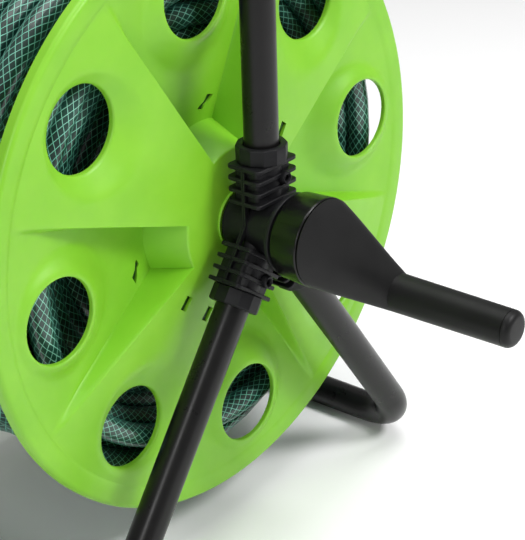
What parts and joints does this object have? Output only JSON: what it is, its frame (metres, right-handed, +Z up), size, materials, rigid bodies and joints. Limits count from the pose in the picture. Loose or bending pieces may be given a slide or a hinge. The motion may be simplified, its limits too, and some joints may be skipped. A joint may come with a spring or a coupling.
{
  "type": "garden hose reel on a tubular stand",
  "caption": "Garden hose reel: lime flanges and a wound braided hose turn on a black tubular steel stand with ribbed clamp brackets, a side crank and a swivelling water inlet.",
  "frame": {"origin": "on the floor, under the middle of the object's box", "axes": "+X along the reel's axis towards the crank, +Y from the front leg to the rear leg, +Z up"},
  "size_m": [0.4948, 0.3996, 0.5516],
  "materials": {
    "painted_tube": "satin black powder coat",
    "grip_rubber": "matt ribbed",
    "black_plastic": "fine moulded texture",
    "gloss_black_plastic": "polished",
    "lime_plastic": "satin",
    "zinc_screw": "blackened zinc",
    "nylon_bush": "natural",
    "seal_rubber": "smooth",
    "connector_plastic": "satin",
    "green_hose": "clear PVC over braid"
  },
  "bodies": {
    "stand": {"handle_tube": "painted_tube", "handle_grip": "grip_rubber", "front_leg_tube": "painted_tube", "rear_leg_tube": "painted_tube", "near_bracket_outer": "black_plastic", "near_bracket_inner": "black_plastic", "near_bush": "nylon_bush", "near_upright_collar": "black_plastic", "near_upright_screw": "zinc_screw", "near_front_collar": "black_plastic", "near_front_screw": "zinc_screw", "near_rear_collar": "black_plastic", "near_rear_screw": "zinc_screw", "far_bracket_outer": "black_plastic", "far_bracket_inner": "black_plastic", "far_bush": "nylon_bush", "far_upright_collar": "black_plastic", "far_upright_screw": "zinc_screw", "far_front_collar": "black_plastic", "far_front_screw": "zinc_screw", "far_rear_collar": "black_plastic", "far_rear_screw": "zinc_screw"},
    "reel": {"near_flange": "lime_plastic", "far_flange": "lime_plastic", "drum_half_1": "lime_plastic", "drum_half_2": "lime_plastic", "drive_spindle": "black_plastic", "water_spindle": "black_plastic", "outlet_elbow": "black_plastic", "crank_hub": "gloss_black_plastic", "crank_arm": "black_plastic", "crank_end_cap": "black_plastic", "hose_winding": "green_hose", "hose_end_connector": "connector_plastic"},
    "inlet": {"inlet_elbow": "black_plastic", "inlet_seal": "seal_rubber", "inlet_nipple": "connector_plastic"}
  },
  "joints": [
    {"name": "reel_spin", "type": "hinge", "parent": "stand", "child": "reel", "pos_m": [0.0501, 0, 0.2262], "axis": [1, 0, 0], "continuous": true},
    {"name": "inlet_swivel", "type": "hinge", "parent": "stand", "child": "inlet", "pos_m": [-0.2309, 0, 0.2262], "axis": [1, 0, 0], "continuous": true}
  ]
}
